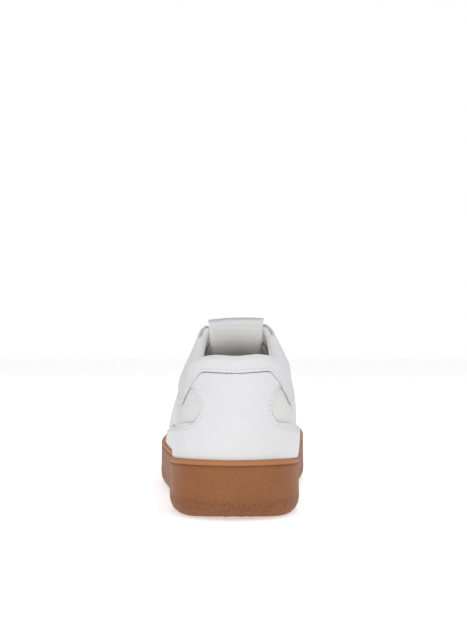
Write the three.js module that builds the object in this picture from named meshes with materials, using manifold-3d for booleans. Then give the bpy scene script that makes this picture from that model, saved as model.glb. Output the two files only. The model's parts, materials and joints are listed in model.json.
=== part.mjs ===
// A lace-up leather court shoe for the left foot, on a gum rubber cup sole.
// Millimetres. +Y runs from heel to toe, +X to the inner (medial) side, +Z up.
// The origin is the centre of the bounding box at floor level.
import * as THREE from "three";
import { mergeVertices } from "three/addons/utils/BufferGeometryUtils.js";
import Module from "manifold-3d";

const wasm = await Module();
wasm.setup();

// ---------------------------------------------------------------- driving dimensions
const SOLE_LENGTH = 295;
const CENTRE_X = -1.745; // middle of the sole's width, in the last's own frame
const SOLE_FLOOR = 7; // rubber under the foam, inside the cup
const LEATHER = 1.5; // vamp and quarters, from the upper surface inwards
const OVERLAY = 1.3; // toe cap, heel panel, collar panel and eyestays
const GAP = 0.3;
const LINING = 0.9;
const LINING_DEPTH = 3.1; // outer face of the lining below the upper surface, at the front
const COLLAR_DEPTH = 6.4; // the same where the collar is padded
const EYELETS = 6; // pairs
const EYELET_RADIUS = 2.3;
const LACE_WIDTH = 7;
const LACE_THICKNESS = 1.2;

// Stations run round the shoe: 0 at the heel's back, 1 to 10 along the outer side, 11 at the
// toe, 12 to 21 back along the inner side. s is the distance from the heel's back.
const TOE = 11;
const LOOP = 2 * TOE;
const mirrored = (outer, inner) => [...outer, ...inner.slice(1, TOE).reverse()];
const both = (values) => mirrored(values, values);

// Sole outline in plan, as [s, x].
const OUTLINE = mirrored(
  [[0, -0.7], [4.5, -18.5], [18, -32.5], [45, -39], [90, -40], [135, -46], [178, -51.5], [215, -50.5],
    [248, -44], [273, -32], [289, -15], [295, 5]],
  [[0, -0.7], [4.5, 17.3], [18, 30.5], [43, 36.5], [80, 36.5], [120, 37], [162, 42.5], [202, 47.8],
    [236, 47.5], [264, 41.5], [285, 27], [295, 5]],
);
// Top line: collar from 0 to 5, eyestay edge from 5 to 7, ridge of the vamp from 8 on, as [s, x, z].
const RIDGE = [[206, 1, 67], [226, 3, 60], [242, 4, 56], [250, 4.5, 54.5]];
const TOPLINE = mirrored(
  [[9, 0, 90.8], [13, -15, 91.2], [29, -24.5, 88], [60, -26.5, 80.5], [93, -24, 94],
    [117, -19.5, 107.5], [151, -13, 94], [185, -10, 76.5], ...RIDGE],
  [[9, 0, 90.8], [13, 14.5, 91.6], [29, 24, 88.5], [60, 26.5, 81], [93, 25, 95],
    [117, 18.5, 108.3], [151, 13.5, 95], [185, 11, 77.5], ...RIDGE],
);
// Height of the feather edge, where the upper turns under the foot, and of the sole's top lip.
const FEATHER_Z = both([22, 22, 22, 21, 19, 17, 15.5, 15.5, 16.5, 18, 19.5, 20]);
const LIP_Z = mirrored([33, 33, 32.5, 31, 29.5, 29, 29.5, 31, 33, 34.5, 35.5, 36],
  [33, 33, 32.5, 31, 29.5, 29.5, 30.5, 32.5, 34, 35, 35.5, 36]);
// Each wall curve leaves the feather edge outwards and upwards, and meets the top line from
// outside and below: how far each of its two handles reaches.
const FOOT_OUT = mirrored([4, 4, 4.5, 6.5, 8.5, 9, 6, 3, 2, 1.5, 1.5, 1.5],
  [4, 4, 6.5, 9.5, 13, 14, 8, 3.5, 2, 1.5, 1.5, 1.5]);
const FOOT_UP = both([25, 25, 25, 27, 36, 41, 37, 27, 22, 20, 20, 20]);
const TOP_OUT = mirrored([3, 3, 5, 10, 12, 11, 17, 21, 24, 24, 24, 24],
  [3, 3, 5, 11, 14, 14, 18, 21, 24, 24, 24, 24]);
const TOP_DOWN = both([25, 25, 22, 20, 22, 24, 13, 5, 1, 0, 0, 0]);
const FEATHER_INSET = 5.2;

// ---------------------------------------------------------------- curves
// Catmull-Rom weights for four neighbouring values.
function blend4(a, b, c, d, t) {
  return 0.5 * (2 * b + (c - a) * t + (2 * a - 5 * b + 4 * c - d) * t * t
    + (3 * b - a - 3 * c + d) * t * t * t);
}
// Value of a closed list at station w, smooth through every entry.
function around(list, w) {
  const n = list.length;
  const i = Math.floor(w);
  const at = (k) => list[(((i + k) % n) + n) % n];
  const t = w - i;
  if (typeof list[0] === "number") return blend4(at(-1), at(0), at(1), at(2), t);
  return list[0].map((_, k) => blend4(at(-1)[k], at(0)[k], at(1)[k], at(2)[k], t));
}
// Value of an open list of [position, value] pairs, smooth and flat beyond its ends.
function along(pairs, p) {
  const n = pairs.length;
  if (p <= pairs[0][0]) return pairs[0][1];
  if (p >= pairs[n - 1][0]) return pairs[n - 1][1];
  let i = 0;
  while (pairs[i + 1][0] < p) i++;
  const t = (p - pairs[i][0]) / (pairs[i + 1][0] - pairs[i][0]);
  const v = (k) => pairs[Math.min(n - 1, Math.max(0, i + k))][1];
  return blend4(v(-1), v(0), v(1), v(2), t);
}
const lerp = (a, b, t) => a + (b - a) * t;
const steps = (from, to, n) => Array.from({ length: n + 1 }, (_, i) => lerp(from, to, i / n));
const toPart = (s, x, z) => new THREE.Vector3(x - CENTRE_X, s - SOLE_LENGTH / 2, z);

// Sole outline at station w, moved inwards by inset, at height z.
function outline(w, inset, z) {
  const [s, x] = around(OUTLINE, w);
  const [s1, x1] = around(OUTLINE, w + 0.02);
  const [s0, x0] = around(OUTLINE, w - 0.02);
  const length = Math.hypot(s1 - s0, x1 - x0);
  return toPart(s - ((x1 - x0) / length) * inset, x + ((s1 - s0) / length) * inset, z);
}

// ---------------------------------------------------------------- the upper's surface
// Point at station w and height fraction v: 0 at the feather edge, 1 at the top line.
function surface(w, v) {
  const foot = outline(w, FEATHER_INSET, around(FEATHER_Z, w));
  const [s, x, z] = around(TOPLINE, w);
  const top = toPart(s, x, z);
  const edge = outline(w, 0, foot.z);
  const out = edge.clone().sub(outline(w, 1, foot.z));
  const away = new THREE.Vector3(foot.x - top.x, foot.y - top.y, 0).normalize();
  const h0 = foot.clone().addScaledVector(out, around(FOOT_OUT, w));
  h0.z += around(FOOT_UP, w);
  const h1 = top.clone().addScaledVector(away, around(TOP_OUT, w));
  h1.z -= around(TOP_DOWN, w);
  const u = 1 - v;
  return foot.multiplyScalar(u * u * u).addScaledVector(h0, 3 * u * u * v)
    .addScaledVector(h1, 3 * u * v * v).addScaledVector(top, v * v * v);
}
const isRidge = (w, v) => v > 0.9999 && w > 7.999 && w < LOOP - 7.999;
function normalAt(w, v) {
  const e = 0.01;
  const inner = Math.min(v, 1 - e);
  const side = (q) => surface(q + e, inner).sub(surface(q - e, inner))
    .cross(surface(q, inner + e).sub(surface(q, inner - e))).normalize();
  if (isRidge(w, v)) return side(w).add(side(LOOP - w)).normalize();
  return side(w);
}
// The surface moved outwards by depth (inwards when negative).
function layer(w, v, depth) {
  return surface(w, v).addScaledVector(normalAt(w, v), -depth);
}
// Height fraction at which the surface reaches height z.
function fractionAt(w, z) {
  let low = 0;
  let high = 1;
  for (let i = 0; i < 30; i++) {
    const mid = (low + high) / 2;
    if (surface(w, mid).z < z) low = mid;
    else high = mid;
  }
  return low;
}
// How deep the lining lies: deeper round the padded collar and heel.
function liningDepth(w, v) {
  const station = Math.min(w < 0 ? -w : w, Math.abs(LOOP - w));
  const back = 1 - THREE.MathUtils.smoothstep(station, 3.2, 5.2);
  const padded = THREE.MathUtils.smoothstep(v, 0.35, 0.75);
  return lerp(LINING_DEPTH, COLLAR_DEPTH, back * padded);
}

// ---------------------------------------------------------------- solids
function geometryOf(vertices, triangles) {
  const flat = new Float32Array(vertices.length * 3);
  vertices.forEach((p, i) => p.toArray(flat, i * 3));
  return new THREE.BufferGeometry()
    .setAttribute("position", new THREE.BufferAttribute(flat, 3))
    .setIndex(triangles.flat());
}
function volumeOf(geometry) {
  const p = geometry.getAttribute("position");
  const i = geometry.index.array;
  const [a, b, c] = [new THREE.Vector3(), new THREE.Vector3(), new THREE.Vector3()];
  let six = 0;
  for (let k = 0; k < i.length; k += 3) {
    a.fromBufferAttribute(p, i[k]);
    b.fromBufferAttribute(p, i[k + 1]);
    c.fromBufferAttribute(p, i[k + 2]);
    six += a.dot(b.cross(c));
  }
  return six / 6;
}
function facingOut(geometry) {
  if (volumeOf(geometry) > 0) return geometry;
  const i = geometry.index.array;
  for (let k = 0; k < i.length; k += 3) [i[k], i[k + 1]] = [i[k + 1], i[k]];
  return geometry;
}
// A closed slab over a grid of [w, v] places, between two depths of the upper's surface.
// A depth is a number or a function of (w, v). Ridge points of both sides are one point.
function slab(rows, outer, inner) {
  const value = (d, w, v) => (typeof d === "function" ? d(w, v) : d);
  const places = [];
  const known = new Map();
  const id = rows.map((row) => row.map(([w, v]) => {
    const ridge = isRidge(w, v);
    const key = ridge ? `r${Math.min(w, LOOP - w).toFixed(4)}` : `${w.toFixed(4)}_${v.toFixed(4)}`;
    if (!known.has(key)) {
      known.set(key, places.length);
      places.push([w, v]);
    }
    return known.get(key);
  }));
  const n = places.length;
  const faces = [];
  const add = (a, b, c) => {
    if (a !== b && b !== c && a !== c) faces.push([a, b, c]);
  };
  for (let i = 0; i + 1 < id.length; i++) {
    for (let j = 0; j + 1 < id[i].length; j++) {
      add(id[i][j], id[i + 1][j], id[i + 1][j + 1]);
      add(id[i][j], id[i + 1][j + 1], id[i][j + 1]);
    }
  }
  return closeSlab(places.map(([w, v]) => layer(w, v, value(outer, w, v))),
    places.map(([w, v]) => layer(w, v, value(inner, w, v))), faces, n);
}
// Two matching sheets of the same faces, joined along the sheet's open edges.
function closeSlab(upper, lower, faces, n) {
  const triangles = [];
  const edges = new Map();
  for (const [a, b, c] of faces) {
    triangles.push([a, b, c], [a + n, c + n, b + n]);
    for (const [p, q] of [[a, b], [b, c], [c, a]]) {
      if (edges.has(`${q}_${p}`)) edges.delete(`${q}_${p}`);
      else edges.set(`${p}_${q}`, [p, q]);
    }
  }
  for (const [p, q] of edges.values()) triangles.push([q, p, p + n], [q, p + n, q + n]);
  return facingOut(geometryOf([...upper, ...lower], triangles));
}
// A grid of places from a list of stations and a list of fractions, through a mapping.
const grid = (list, fractions, place) => list.map((a) => fractions.map((b) => place(a, b)));

// A closed body through a stack of closed loops round the shoe, closed at both ends by rungs
// from each station to the one across from it.
function loft(loops) {
  const n = loops[0].length;
  const triangles = [];
  const quad = (a, b, c, d) => {
    for (const t of [[a, b, c], [a, c, d]]) if (new Set(t).size === 3) triangles.push(t);
  };
  for (let k = 0; k + 1 < loops.length; k++) {
    for (let i = 0; i < n; i++) {
      const j = (i + 1) % n;
      quad(k * n + i, k * n + j, (k + 1) * n + j, (k + 1) * n + i);
    }
  }
  const last = (loops.length - 1) * n;
  for (let i = 0; i < n / 2; i++) {
    const across = (n - i) % n;
    quad(i, across, n - i - 1, i + 1);
    quad(last + i, last + i + 1, last + n - i - 1, last + across);
  }
  return facingOut(geometryOf(loops.flat(), triangles));
}

// ---------------------------------------------------------------- booleans
function solidOf(geometry) {
  const bare = new THREE.BufferGeometry()
    .setAttribute("position", geometry.getAttribute("position"))
    .setIndex(geometry.index);
  const merged = mergeVertices(bare, 1e-4);
  return new wasm.Manifold(new wasm.Mesh({
    numProp: 3,
    vertProperties: merged.attributes.position.array,
    triVerts: new Uint32Array(merged.index.array),
  }));
}
function geometryFrom(solid) {
  const m = solid.getMesh();
  return new THREE.BufferGeometry()
    .setAttribute("position", new THREE.BufferAttribute(new Float32Array(m.vertProperties), 3))
    .setIndex(new THREE.BufferAttribute(new Uint32Array(m.triVerts), 1));
}
// The geometry with a straight round hole through it at each [w, v] place.
function pierced(geometry, places, radius, reach = 16) {
  let solid = solidOf(geometry);
  for (const [w, v] of places) {
    const pin = new THREE.CylinderGeometry(radius, radius, reach, 12);
    pin.deleteAttribute("normal");
    pin.deleteAttribute("uv");
    const turn = new THREE.Quaternion().setFromUnitVectors(new THREE.Vector3(0, 1, 0), normalAt(w, v));
    pin.applyQuaternion(turn);
    const at = surface(w, v);
    pin.translate(at.x, at.y, at.z);
    solid = solid.subtract(solidOf(pin));
  }
  return geometryFrom(solid);
}

// ---------------------------------------------------------------- materials
const material = (color, roughness) => new THREE.MeshStandardMaterial({ color, roughness, metalness: 0 });
const MATERIALS = {
  leather: material(0xf1f1f2, 0.55),
  lining: material(0xd6d4cf, 0.95),
  gum: material(0xb4764a, 0.8),
  foam: material(0xe9e6de, 0.95),
  board: material(0xcfc4ae, 0.9),
  stiffener: material(0xd9d3c4, 0.8),
  lace: material(0xf3f3f3, 0.85),
  tip: material(0xf0f0f0, 0.3),
};
const shoe = new THREE.Group();
function piece(name, geometry, finish) {
  const mesh = new THREE.Mesh(geometry, MATERIALS[finish]);
  mesh.name = name;
  shoe.add(mesh);
}

// ---------------------------------------------------------------- the sole unit
const RIM_STATIONS = steps(0, LOOP, 66).slice(0, -1);
const toeSpring = (s) => 9 * Math.max(0, (s - 212) / (SOLE_LENGTH - 212)) ** 2
  + 1.5 * Math.max(0, (22 - s) / 22) ** 2;
const GROOVE_DROP = 3.3;
const GROOVE_DEPTH = 0.9;
// Rubber loop that follows the upper's surface at a share of the way up to the lip.
function seatLoop(share, clearance) {
  return RIM_STATIONS.map((w) => layer(w, fractionAt(w, around(LIP_Z, w)) * share, clearance));
}
function rimLoop(inset, height) {
  return RIM_STATIONS.map((w) => {
    const s = around(OUTLINE, w)[0];
    return outline(w, inset, height(w, toeSpring(s)));
  });
}
function outsoleCup() {
  const seat = OVERLAY + 2.8 * GAP;
  const flat = RIM_STATIONS.map((w) => {
    const p = outline(w, 7, 0);
    p.z = toeSpring(p.y + SOLE_LENGTH / 2);
    return p;
  });
  return loft([
    flat,
    rimLoop(2.2, (w, base) => base + 1.4),
    rimLoop(0.5, (w, base) => base + 4.5),
    rimLoop(0, (w, base) => base + 9),
    rimLoop(0.3, (w) => around(LIP_Z, w) - GROOVE_DROP - 0.6),
    rimLoop(GROOVE_DEPTH + 0.2, (w) => around(LIP_Z, w) - GROOVE_DROP),
    rimLoop(0.2, (w) => around(LIP_Z, w) - GROOVE_DROP + 0.7),
    rimLoop(0.5, (w) => around(LIP_Z, w) - 0.6),
    seatLoop(1, seat),
    seatLoop(0.5, seat),
    seatLoop(0, seat),
    rimLoop(FEATHER_INSET + 0.5, (w, base) => base + SOLE_FLOOR),
  ]);
}
const slabBetween = (inset, low, high, under) => loft([
  rimLoop(inset, low), rimLoop(inset - 0.01, (w, base) => lerp(low(w, base), high(w, base), 0.5)),
  rimLoop(under ?? inset, high),
]);

piece("outsole_cup", outsoleCup(), "gum");
piece("midsole_foam", slabBetween(FEATHER_INSET + 1.2,
  (w, base) => base + SOLE_FLOOR + GAP, (w) => around(FEATHER_Z, w) - 1), "foam");
piece("insole_board", slabBetween(FEATHER_INSET + 5.4,
  (w) => around(FEATHER_Z, w) - 0.6, (w) => around(FEATHER_Z, w) + 1), "board");
piece("sockliner", slabBetween(FEATHER_INSET + 5.2,
  (w) => around(FEATHER_Z, w) + 1 + GAP, (w) => around(FEATHER_Z, w) + 6), "lining");

// ---------------------------------------------------------------- panel edges, as [station, fraction]
const FOOT_V = 0.02;
const EYESTAY_START = 4.45;
const THROAT_V = 0.98; // upper edge of the quarters and eyestays
const VAMP_END = 7.6; // where the quarter's front edge meets the eyestay's front end
// Lower edge of the collar panel, of the eyestay, and upper edge of the toe cap.
const COLLAR_EDGE = [[0, 0.862], [0.8, 0.861], [1.12, 0.866], [1.3, 0.86], [1.55, 0.812], [1.9, 0.745],
  [2.35, 0.695], [3, 0.635], [3.7, 0.61], [4.45, 0.68]];
const EYESTAY_EDGE = [[4.45, 0.68], [5, 0.7], [6, 0.72], [6.8, 0.75], [7.2, 0.81], [7.45, 0.89],
  [7.6, 0.97]];
const CAP_EDGE = [[6.3, 0.2], [7.2, 0.29], [8, 0.4], [9, 0.57], [10, 0.73], [11, 0.83]];
// Upper edge of the strip that runs forward from the heel panel along the sole, by station,
// and the heel panel's half-width in stations, by fraction: the side's rounded nose cuts into it.
const STRIP_EDGE = [[1.9, 0.42], [2.6, 0.423], [3, 0.405], [3.3, 0.37], [3.7, 0.32], [4.4, 0.252],
  [5.2, 0.19], [5.6, 0.13]];
const HEEL_WIDTH = [[0.02, 2.3], [0.4, 2.3], [0.437, 1.62], [0.5, 1.38], [0.58, 1.27], [0.665, 1.48],
  [0.737, 1.88]];
const station = (w) => (w > TOE ? LOOP - w : Math.abs(w));
const eyelets = steps(0, 1, EYELETS - 1).map((r) => [lerp(5.35, 7.1, r), lerp(0.92, 0.9, r)]);
const onSide = (side, w) => (side < 0 ? w : LOOP - w);
const SIDES = [[-1, "lateral"], [1, "medial"]];
const quarterFront = (v) => lerp(5.7, VAMP_END, v);

// ---------------------------------------------------------------- the upper's inside
const liningOuter = (w, v) => -liningDepth(w, v);
const liningInner = (w, v) => -liningDepth(w, v) - LINING;
const heelStations = steps(-3.9, 3.9, 20);
piece("heel_lining", slab(grid(heelStations, steps(FOOT_V, 1, 8), (w, v) => [w, v]),
  liningOuter, liningInner), "lining");
for (const [side, name] of SIDES) {
  const holes = eyelets.map(([w, v]) => [onSide(side, w), v]);
  piece(`quarter_lining_${name}`, pierced(slab(
    grid(steps(3.96, 7.55, 11), steps(FOOT_V, 1, 6), (w, v) => [onSide(side, w), v]),
    liningOuter, liningInner), holes, EYELET_RADIUS + 2.1), "lining");
}
const vampStations = [...steps(7.62, 8, 1), ...steps(8.4, LOOP - 8.4, 14),
  ...steps(LOOP - 8, LOOP - 7.62, 1)];
piece("vamp_lining", slab(grid(vampStations, steps(FOOT_V, 1, 7), (w, v) => [w, v]),
  -LINING_DEPTH, -LINING_DEPTH - LINING), "lining");
piece("toe_puff", slab(grid(steps(9, LOOP - 9, 14), steps(0.04, 0.7, 6), (w, v) => [w, v]),
  -LEATHER - 1.5 * GAP, -LINING_DEPTH + GAP), "stiffener");
piece("heel_counter", slab(grid(steps(-3, 3, 14), steps(0.04, 0.6, 5), (w, v) => [w, v]),
  -LEATHER - GAP, -LINING_DEPTH + GAP), "stiffener");
const foamTop = 0.985;
piece("collar_foam", slab(grid(steps(-4.2, 4.2, 24), steps(0, 1, 4),
  (w, b) => [w, lerp(along(COLLAR_EDGE, station(w)) - 0.02, foamTop, b)]),
-LEATHER - 2 * GAP, (w, v) => -liningDepth(w, v) + 2 * GAP), "foam");

// ---------------------------------------------------------------- the upper's outside
for (const [side, name] of SIDES) {
  const holes = eyelets.map(([w, v]) => [onSide(side, w), v]);
  const quarter = grid(steps(0, 1, 26), steps(FOOT_V, THROAT_V, 9),
    (a, v) => [onSide(side, lerp(0.04, quarterFront(v), a)), v]);
  piece(`quarter_${name}`, pierced(slab(quarter, 0, -LEATHER), holes, EYELET_RADIUS), "leather");
  const eyestay = grid(steps(EYESTAY_START, VAMP_END, 16), steps(0, 1, 4),
    (w, b) => [onSide(side, w), lerp(along(EYESTAY_EDGE, w), THROAT_V, b)]);
  piece(`eyestay_${name}`, pierced(slab(eyestay, GAP + OVERLAY, GAP), holes, EYELET_RADIUS), "leather");
}
const vampPlace = (a, v) => {
  const start = quarterFront(v) + 0.06;
  return [lerp(start, LOOP - start, a), v];
};
piece("vamp", slab(grid(steps(0, 1, 24), steps(FOOT_V, 1, 8), vampPlace), 0, -LEATHER), "leather");
piece("toe_cap", slab(grid(steps(6.3, LOOP - 6.3, 26), steps(0, 1, 4),
  (w, b) => [w, lerp(FOOT_V, along(CAP_EDGE, station(w)), b)]), GAP + OVERLAY, 2.6 * GAP), "leather");
const collarSpan = EYESTAY_START - 0.13;
piece("collar_panel", slab(grid(steps(-collarSpan, collarSpan, 34), steps(0, 1, 4),
  (w, b) => [w, lerp(along(COLLAR_EDGE, station(w)), 1, b)]), GAP + OVERLAY, GAP), "leather");
piece("heel_panel", heelPanel(), "leather");
function heelPanel() {
  const middle = slab(grid(steps(0, 1, 16), steps(-1, 1, 12), (b, a) => {
    const side = lerp(FOOT_V, HEEL_WIDTH.at(-1)[0], b);
    const w = a * along(HEEL_WIDTH, side);
    const crown = along(COLLAR_EDGE, Math.abs(w)) - 0.008;
    return [w, lerp(lerp(FOOT_V, crown, b), side, a ** 4)];
  }), GAP + OVERLAY, 3.1 * GAP);
  let panel = solidOf(middle);
  for (const [side] of SIDES) {
    const strip = slab(grid(steps(1.9, 5.6, 15), steps(0, 1, 4),
      (w, b) => [onSide(side, w), lerp(FOOT_V, along(STRIP_EDGE, w), b)]), GAP + OVERLAY, 3.1 * GAP);
    panel = panel.add(solidOf(strip));
  }
  return geometryFrom(panel);
}

// ---------------------------------------------------------------- the tongue
// Centre line from the stitched base to the free top, as [s, z], with half-width and thickness.
const TONGUE_LINE = [[204, 60.3], [177, 73.3], [150, 87.2], [127, 97.4], [110.5, 103], [104.5, 112]];
const TONGUE_WIDTH = [11, 14, 15.6, 16, 16.4, 17.3];
const TONGUE_PADDING = [0.9, 2.6, 3.8, 4.4, 4.2, 3];
const TONGUE_X = -0.2;
const TONGUE_SAG = [0.25, 0.25, 0.25, 0.25, 0.2, 0.12]; // drop at the edges, as a share of the half-width
const TONGUE_LEAN = THREE.MathUtils.degToRad(3.5); // the outer edge hangs lower
const openList = (list, r) => {
  const i = Math.min(list.length - 2, Math.floor(r * (list.length - 1)));
  const at = (k) => list[Math.min(list.length - 1, Math.max(0, i + k))];
  const f = r * (list.length - 1) - i;
  if (typeof list[0] === "number") return blend4(at(-1), at(0), at(1), at(2), f);
  return list[0].map((_, k) => blend4(at(-1)[k], at(0)[k], at(1)[k], at(2)[k], f));
};
// Point r of the way up the tongue and p across it (-1 outer edge, 1 inner edge), depth below its face.
function tonguePoint(r, p, depth) {
  const [s, z] = openList(TONGUE_LINE, r);
  const [s1, z1] = openList(TONGUE_LINE, Math.min(1, r + 0.01));
  const [s0, z0] = openList(TONGUE_LINE, Math.max(0, r - 0.01));
  const length = Math.hypot(s1 - s0, z1 - z0);
  const half = openList(TONGUE_WIDTH, r);
  const across = p * half * Math.cos(TONGUE_LEAN);
  const down = depth + half * openList(TONGUE_SAG, r) * p * p - p * half * Math.sin(TONGUE_LEAN) * r;
  return toPart(s - ((z1 - z0) / length) * down, TONGUE_X + across, z + ((s1 - s0) / length) * down);
}
function tongueLayer(top, bottom) {
  const rs = steps(0, 1, 10);
  const ps = steps(-1, 1, 6);
  const n = rs.length * ps.length;
  const faces = [];
  rs.slice(1).forEach((_, i) => ps.slice(1).forEach((__, j) => {
    const a = i * ps.length + j;
    faces.push([a, a + ps.length, a + ps.length + 1], [a, a + ps.length + 1, a + 1]);
  }));
  const sheet = (depth) => rs.flatMap((r) => ps.map((p) => tonguePoint(r, p, depth(r))));
  return closeSlab(sheet(top), sheet(bottom), faces, n);
}
const TONGUE_LEATHER = 1.2;
const padded = (r) => TONGUE_LEATHER + openList(TONGUE_PADDING, r);
piece("tongue_leather", tongueLayer(() => 0, () => TONGUE_LEATHER), "leather");
piece("tongue_foam", tongueLayer(() => TONGUE_LEATHER + GAP, padded), "foam");
piece("tongue_lining", tongueLayer((r) => padded(r) + GAP, (r) => padded(r) + GAP + LINING), "lining");

// ---------------------------------------------------------------- the lace
const LACE_LIFT = 1.6; // middle of the lace above or below the leather it lies on
const OVER = GAP + OVERLAY + LACE_LIFT;
const UNDER = -LINING_DEPTH - LINING - LACE_LIFT;
const CROSSING_OVER = OVER + 1.6; // middle of a run where it passes over or under the throat's edge
const CROSSING_UNDER = UNDER - 1.4;
const CROSS_LIFT = 1; // half the height between two runs that cross
const RIM_V = 0.995;
const THROAT_STEP = 3.4; // where the lace lies flat again, beyond an eyelet
// A waypoint of the lace: place, direction its broad face looks in, width and thickness.
const flat = (at, up) => ({ at, up, width: LACE_WIDTH, thick: LACE_THICKNESS });
const turning = (at, up) => ({ at, up, width: 4.4, thick: 1.3 });
const bunched = (at, up) => ({ at, up, width: 2.8, thick: 1.6 });
function eyeletFrame(side, k) {
  const w = onSide(side, eyelets[k][0]);
  const v = eyelets[k][1];
  const out = normalAt(w, v);
  const throat = surface(w, v + 0.02).sub(surface(w, v)).normalize();
  return { out, throat, at: (depth, toThroat) => layer(w, v, depth).addScaledVector(throat, toThroat) };
}
const rimAt = (side, k, depth) => layer(onSide(side, eyelets[k][0]), RIM_V, depth);
// The lace goes up through an eyelet and turns towards the throat.
function upThrough(side, k, turn) {
  const { out, throat, at } = eyeletFrame(side, k);
  return [
    turning(at(UNDER - 0.4, THROAT_STEP), out.clone().multiplyScalar(turn)),
    bunched(at(-LINING_DEPTH - 0.6, 0), throat.clone().multiplyScalar(turn)),
    bunched(at(1.2, 0), throat.clone().multiplyScalar(turn)),
    turning(at(OVER, THROAT_STEP), out.clone().multiplyScalar(-turn)),
  ];
}
// It goes down through the last eyelet and its end is tucked in along the lining.
function tuckedIn(side, turn) {
  const { out, throat, at } = eyeletFrame(side, 0);
  const w = onSide(side, eyelets[0][0]);
  const end = [0.82, 0.7, 0.58].map((v) =>
    flat(layer(w, v, UNDER - 0.9), normalAt(w, v).multiplyScalar(-turn)));
  return [
    turning(at(OVER, THROAT_STEP), out.clone().multiplyScalar(turn)),
    bunched(at(1.2, 0), throat.clone().multiplyScalar(-turn)),
    bunched(at(-LINING_DEPTH - 0.6, 0), throat.clone().multiplyScalar(-turn)),
    ...end,
  ];
}
// Where a run crosses the middle of the throat, between two rims.
function midway(a, b, turn, lift) {
  const up = new THREE.Vector3(0, 0.4, 1).normalize();
  return flat(a.clone().add(b).multiplyScalar(0.5).addScaledVector(up, lift), up.multiplyScalar(turn));
}
// Half the lace, from the lowest eyelet of one side up to its tucked-in end.
function halfLace(start) {
  const way = [];
  let side = start;
  let turn = 1;
  for (let k = EYELETS - 1; k > 0; k--) {
    way.push(...upThrough(side, k, turn));
    turn = -turn;
    const leaving = rimAt(side, k, CROSSING_OVER).lerp(rimAt(side, k - 1, CROSSING_OVER), 0.25);
    const outside = k === 1;
    const depth = outside ? CROSSING_OVER : CROSSING_UNDER;
    const arriving = rimAt(-side, k, depth).lerp(rimAt(-side, k - 1, depth), 0.75);
    const lift = CROSS_LIFT * start * (k % 2 ? -1 : 1);
    way.push(flat(leaving, eyeletFrame(side, k).out.multiplyScalar(turn)),
      midway(leaving, arriving, turn, lift),
      flat(arriving, eyeletFrame(-side, k - 1).out.multiplyScalar(turn)));
    side = -side;
  }
  return [...way, ...tuckedIn(side, turn)];
}
// Body swept along waypoints, with an oblong section of eight corners.
function swept(way, perLeg) {
  const item = (i) => way[Math.min(way.length - 1, Math.max(0, i))];
  const mix = (key, i, f) => {
    const [a, b, c, d] = [-1, 0, 1, 2].map((k) => item(i + k)[key]);
    if (typeof a === "number") return lerp(b, c, f);
    return new THREE.Vector3(...["x", "y", "z"].map((q) => blend4(a[q], b[q], c[q], d[q], f)));
  };
  const rings = [];
  for (let i = 0; i + 1 < way.length; i++) {
    const last = i + 2 === way.length;
    for (let k = 0; k < perLeg + (last ? 1 : 0); k++) {
      const f = k / perLeg;
      const at = mix("at", i, f);
      const tangent = mix("at", i, f + 0.02).sub(mix("at", i, f - 0.02)).normalize();
      const up = mix("up", i, f);
      up.addScaledVector(tangent, -up.dot(tangent)).normalize();
      const across = tangent.clone().cross(up);
      const w = mix("width", i, f) / 2;
      const h = mix("thick", i, f) / 2;
      rings.push([[w, 0], [w * 0.8, h], [-w * 0.8, h], [-w, 0], [-w * 0.8, -h], [w * 0.8, -h]]
        .map(([x, y]) => at.clone().addScaledVector(across, x).addScaledVector(up, y)));
    }
  }
  return rings;
}
function ringBody(rings) {
  const n = rings[0].length;
  const triangles = [];
  for (let k = 0; k + 1 < rings.length; k++) {
    for (let i = 0; i < n; i++) {
      const j = (i + 1) % n;
      triangles.push([k * n + i, k * n + j, (k + 1) * n + j], [k * n + i, (k + 1) * n + j, (k + 1) * n + i]);
    }
  }
  const last = (rings.length - 1) * n;
  for (let i = 1; i + 1 < n; i++) triangles.push([0, i + 1, i], [last, last + i, last + i + 1]);
  return facingOut(geometryOf(rings.flat(), triangles));
}
const laceHalves = SIDES.map(([side]) => halfLace(side));
const barMiddle = midway(rimAt(-1, EYELETS - 1, UNDER), rimAt(1, EYELETS - 1, UNDER), 1, 0);
const turned = (list) => [...list].reverse();
piece("lace", ringBody(swept([...turned(laceHalves[0]), barMiddle, ...laceHalves[1]], 3)), "lace");
SIDES.forEach(([side, name]) => {
  const w = onSide(side, eyelets[0][0]);
  const tip = [0.55, 0.48, 0.4].map((v) => ({
    at: layer(w, v, UNDER - 0.9), up: normalAt(w, v), width: 4, thick: 2.4 }));
  piece(`aglet_${name}`, ringBody(swept(tip, 2)), "tip");
});

export default shoe;
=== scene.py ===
"""A white leather court shoe on a gum rubber cup sole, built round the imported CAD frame.

Lengths are worked out in millimetres in the CAD's own frame and scaled to metres as each mesh is made.
"""
import json
import math

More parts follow.
